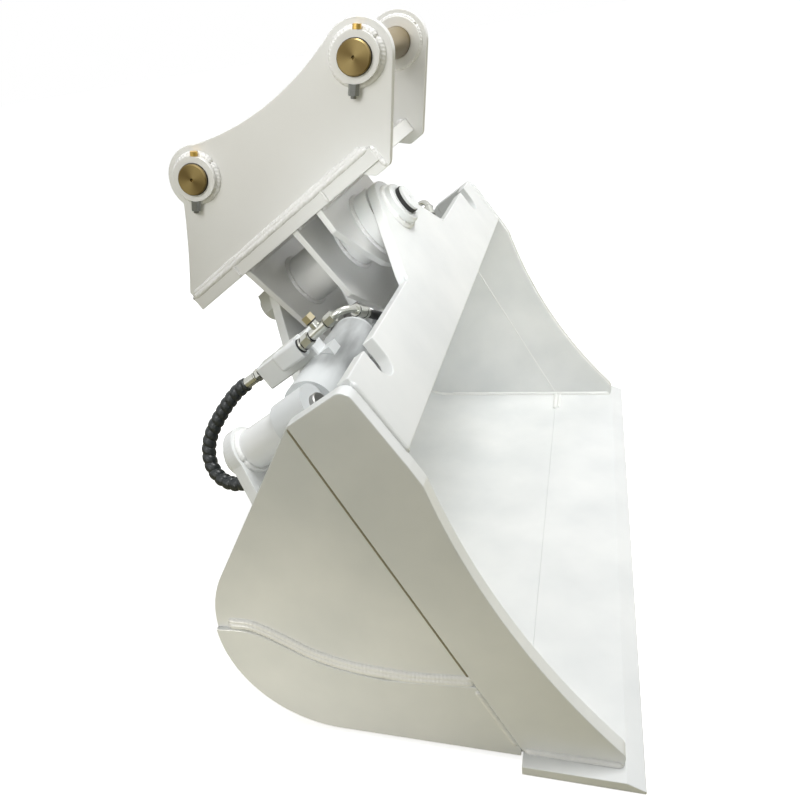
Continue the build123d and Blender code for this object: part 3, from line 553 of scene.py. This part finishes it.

# Painted shadow: a dark line on the side plate beside the side cutter's edge, where the step casts shade; and
# marks on the hanger's base edge.
seamShadowLook = {"steps": (166, 300, 500, 700, 771), "shift": (6.2, -3.3), "radius": 0.0024}
seamLine = [(alongSeam(outerFace + 0.2, seamShadowLook["steps"], seamShadowLook["shift"]), seamShadowLook["radius"], (1, 0, 0))]
beads("seamLine", mirrored(seamLine), simple["seamShade"], "bucket")
markLook = {"stations": (-367, -82), "radius": 0.0034}
baseMarks = [(fromTilt([(212, 114, at), (212.4, 130, at + 1), (212, 146, at)]), markLook["radius"], (1, 0, 0))
             for at in markLook["stations"]]
beads("baseMarks", mirrored(baseMarks), hangerWeld, "hanger")


def smoothRoute(points):
    # the route's NURBS spline, and the points read from it
    curve = bpy.data.curves.new("route", "CURVE")
    curve.dimensions, curve.resolution_u = "3D", 12
    spline = curve.splines.new("NURBS")
    spline.points.add(len(points) - 1)
    spline.points.foreach_set("co", np.c_[points, np.ones(len(points))].ravel())
    spline.order_u, spline.use_endpoint_u = 3, True
    made = bpy.data.objects.new("route", curve)
    bpy.context.scene.collection.objects.link(made)
    bpy.context.view_layer.update()
    read = bpy.data.meshes.new_from_object(made.evaluated_get(bpy.context.evaluated_depsgraph_get()))
    line = np.empty(len(read.vertices) * 3)
    read.vertices.foreach_get("co", line)
    bpy.data.meshes.remove(read)
    return made, line.reshape(-1, 3)


# Guarded hoses: hose on the route, spiral guard round it.
guardLook = {"hose": 0.0095, "base": 0.0132, "bulge": 0.0038, "pitch": 0.0195, "sides": 44, "step": 0.0013,
             "endLength": 0.003, "endShare": 0.72,
             "route": [(430, -72, -410), (430, -72, -438), (436, -80, -474), (446, -93, -514), (458, -110, -552),
                       (471, -134, -580), (486, -165, -594), (500, -197, -590), (511, -224, -568),
                       (517, -240, -534), (515, -237, -495), (510, -222, -461), (502, -202, -429),
                       (494, -182, -402), (487.5, -168, -379), (486, -163, -358), (486, -163, -333)]}


def spiralGuard(name, line):
    # radius = base + bulge * sin(pi q) ** 0.5, q = part of a turn of the spiral at that length and angle
    p, at = resample(line, guardLook["step"])
    q = (at[:, None] / guardLook["pitch"] + anglesRound(guardLook["sides"]) / (2 * np.pi)) % 1
    r = guardLook["base"] + guardLook["bulge"] * np.sqrt(np.abs(np.sin(np.pi * q)))
    r *= np.clip(np.minimum(at, at[-1] - at) / guardLook["endLength"] + guardLook["endShare"], 0, 1)[:, None]
    points, quads, caps = sweep(p, (1.0, 0.3, 0.2), r)
    return meshPiece(name, points, quads.tolist() + caps.tolist(), simple["guardPlastic"])


for sideName, sign in (("Left", -1), ("Right", 1)):
    body = sideName.lower() + "_barrel"
    points = fromTilt([(sign * x, v, u) for x, v, u in guardLook["route"]])
    hose, line = smoothRoute(points)
    hose.name = "guardedHose" + sideName
    hose.data.bevel_depth, hose.data.bevel_resolution = guardLook["hose"], 4
    hose.data.materials.append(simple["hoseRubber"].holder)
    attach(hose, body)
    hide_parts("guarded_hose_" + sideName.lower())
    guard = spiralGuard("hoseGuard" + sideName, line)
    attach(guard, body)
    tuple(points[0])

# Crossover hose: one route from cylinder to cylinder, built in two halves, each from its cylinder to the middle.
crossLook = {"radius": 0.0095, "sides": 28, "step": 0.004, "straight": 32,
             "half": [(337, -160, -82), (299, -189, -81), (257, -213, -80), (211, -231, -80), (160, -241, -80.5),
                      (106, -245, -81), (50, -246, -81.5)],
             "middle": (0, -246.5, -82.5)}
ferruleWay = np.array([-0.82094, -0.57066, 0.02002])
ferruleTo = np.array([397.97, -105.86, -96.9])
crossHalf = np.array([ferruleTo, ferruleTo + ferruleWay * crossLook["straight"], *crossLook["half"]])
crossRoute = fromTilt([*(crossHalf * (-1, 1, 1)), crossLook["middle"], *crossHalf[::-1]])
whole, crossLine = smoothRoute(crossRoute)
bpy.data.objects.remove(whole)
middle = len(crossLine) // 2
for sideName, line in (("Left", crossLine[:middle + 1]), ("Right", crossLine[middle:][::-1])):
    p, at = resample(line, crossLook["step"])
    radii = np.full((len(p), crossLook["sides"]), crossLook["radius"])
    points, quads, caps = sweep(p, (0, 0.5, 1), radii)
    half = meshPiece("crossoverHose" + sideName, points, quads.tolist() + caps.tolist(), simple["hoseRubber"])
    sideName.lower() + "_barrel"
    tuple(line[-1])
    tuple(line[0])
    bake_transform(half)
    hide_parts("crossover_hose")
    run = np.linalg.norm(np.diff(line, axis=0), axis=1).sum()
    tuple(line[0])
print("hoses")


def ringAt(centre, way, radius, thick):
    # ring round a point of the tilt frame, square to way: centre + radius (cos a * u + sin a * v)
    way = np.asarray(way, float) / np.linalg.norm(way)
    u = np.cross(way, (1.0, 0.2, 0.1) if abs(way[0]) < 0.9 else (0.0, 1.0, 0.0))
    u /= np.linalg.norm(u)
    v = np.cross(way, u)
    a = np.linspace(0, 2 * np.pi, beadLook["sealPoints"])[:, None]
    world = way[0] * np.array([1.0, 0, 0]) + way[1] * tiltLevel + way[2] * tiltStation
    return fromTilt(np.asarray(centre, float) + radius * (np.cos(a) * u + np.sin(a) * v)), thick, world


# Seal rings on the fittings, each with its centre, the way through it, its radius and its thickness.
stationUp = np.array([0.0, 0.0, 1.0])
portUp = np.array([0.0, 0.08716, 0.99619])
branchUp = np.array([0.0, 0.99619, -0.08716])
tee = np.array([462.0, -72.0, -229.0])
teeMiddle = np.array([462.0, -67.8, -172.2])
sealLook = [((430, -72, -363.5), stationUp, 13.4, 0.0016), ((430, -72, -375), stationUp, 12.9, 0.0014),
            ((430, -72, -381), stationUp, 12.4, 0.0005), (tee + stationUp * 1.6, stationUp, 14.6, 0.0022),
            (tee + stationUp * 9.4, stationUp, 13.6, 0.0013), ((462, -69.8, -195), portUp, 11.2, 0.0013),
            ((462, -65.9, -150.3), portUp, 10.4, 0.0013), (teeMiddle + branchUp * 23.2, branchUp, 11.0, 0.0017),
            (ferruleTo - ferruleWay * 36.5, ferruleWay, 12.4, 0.0010),
            (ferruleTo - ferruleWay * 10, ferruleWay, 12.3, 0.0006)]
sealRings = [ringAt(*row) for row in sealLook]
for sideName, sign in (("Left", -1), ("Right", 1)):
    flip = np.array([sign, 1.0, 1.0])
    beads("sealRings" + sideName, [(r * flip, thick, face * flip) for r, thick, face in sealRings],
          simple["sealRubber"], sideName.lower() + "_barrel")

# Dark rims round the pin ends.
rimLook = {"x": 226.3, "radius": 35.4, "thick": 0.0011}
rims = [(ringRoundX(rimLook["x"], *pinAt, rimLook["radius"]), rimLook["thick"], (1, 0, 0))
        for pinAt in (armAt, linkAt)]
beads("pinRims", mirrored(rims), simple["sealRubber"], "hanger")
print("fitting details")

# Camera at the photograph's place, with its focal length and centre in pixels of the square frame.
shot = {"place": (-1.926, -0.4146, 1.306), "focal": 806.1, "centre": (271.54, 418.05), "frame": 800, "sensor": 36,
        "right": (0.3315, -0.9294, -0.162), "down": (-0.4562, -0.0076, -0.8898),
        "ahead": (0.8258, 0.3689, -0.4265), "clip": (0.05, 60)}
cameraData = bpy.data.cameras.new("camera")
camera = bpy.data.objects.new("camera", cameraData)
bpy.context.scene.collection.objects.link(camera)
cameraTurn = Matrix((shot["right"], [-v for v in shot["down"]], [-v for v in shot["ahead"]])).transposed()
camera.matrix_world = Matrix.Translation(shot["place"]) @ cameraTurn.to_4x4()
cameraData.lens = shot["focal"] * shot["sensor"] / shot["frame"]
cameraData.shift_x = (shot["frame"] / 2 - shot["centre"][0]) / shot["frame"]
cameraData.shift_y = (shot["centre"][1] - shot["frame"] / 2) / shot["frame"]
cameraData.clip_start, cameraData.clip_end = shot["clip"]
bpy.context.scene.camera = camera

# Stage: pale floor that is white to the camera, world that is white to the camera and in reflections, soft lamps.
stageLook = {"floor": tone(252, 252, 252), "bounce": tone(182, 176, 140), "floorLift": 0.7, "floorHalf": 40,
             "floorRoughness": 0.9, "floorSpecular": 0.2, "floorDrop": 0.0005, "world": 0.30,
             "worldTint": tone(252, 254, 255), "white": (1, 1, 1, 1)}
floorShade = Shade("paleFloor", {"Roughness": stageLook["floorRoughness"],
                                 "Specular IOR Level": stageLook["floorSpecular"],
                                 "Emission Color": stageLook["white"]})
seen = floorShade.node("ShaderNodeLightPath", {}, {}, "Is Camera Ray")
floorShade.into("Base Color", floorShade.blend(seen, stageLook["bounce"], stageLook["floor"]))
floorShade.into("Emission Strength", seen * stageLook["floorLift"])
floor = bpy.data.objects.new("floor", bpy.data.meshes.new("floor"))
corners = [(x * stageLook["floorHalf"], y * stageLook["floorHalf"], -stageLook["floorDrop"])
           for x, y in ((-1, -1), (1, -1), (1, 1), (-1, 1))]
floor.data.from_pydata(corners, [], [(0, 1, 2, 3)])
floor.data.materials.append(floorShade.holder)
bpy.context.scene.collection.objects.link(floor)
studio = Shade("studio", {}, world=True)
bpy.context.scene.world = studio.holder
cameraRay = studio.node("ShaderNodeLightPath", {}, {}, "Is Camera Ray")
glossyRay = studio.node("ShaderNodeLightPath", {}, {}, "Is Glossy Ray")
bright = cameraRay.larger(glossyRay)
studio.into("Color", studio.blend(bright, stageLook["worldTint"], stageLook["white"]))
studio.into("Strength", bright * (1 - stageLook["world"]) + stageLook["world"])


def lamp(name, place, target, size, power, colour, spread):
    # square lamp that looks from its place at the target, its light spread over that many degrees
    data = bpy.data.lights.new(name, "AREA")
    data.energy, data.size, data.color, data.spread = power, size, colour, math.radians(spread)
    made = bpy.data.objects.new(name, data)
    made.location = place
    made.rotation_euler = (Vector(target) - Vector(place)).to_track_quat("-Z", "Y").to_euler()
    bpy.context.scene.collection.objects.link(made)


lamp("keyLamp", (0.45, -1.3, 4.95), (0.1, -0.15, 0.35), 2.4, 194, (0.985, 0.992, 1.0), 180)
lamp("earLamp", (-1.6, 0.6, 1.9), (-0.2, 0.1, 1.1), 0.8, 2.0, (1.0, 1.0, 1.0), 60)
lamp("farLamp", (-0.9, -1.5, 0.7), (0.77, -0.1, 0.4), 0.5, 0.65, (0.97, 0.985, 1.0), 35)
lamp("rearLamp", (-2.2, 1.4, 1.2), (-0.8, 0.05, 0.62), 1.0, 0.95, (1.0, 0.98, 0.93), 90)
lamp("heelLamp", (-2.4, 1.0, 0.3), (-0.8, 0.15, 0.03), 0.5, 0.7, (1.0, 0.97, 0.90), 34)
lamp("hubLamp", (-1.9, -0.58, 1.12), (-0.1, 0.02, 0.87), 0.25, 0.14, (0.90, 0.95, 1.0), 14)
lamp("farEarLamp", (-0.12, -0.1, 1.95), (0.2, 0.12, 1.1), 0.4, 0.13, (1.0, 1.0, 1.0), 70)
bpy.context.scene.view_settings.view_transform = "Standard"
print("camera, stage and lamps")
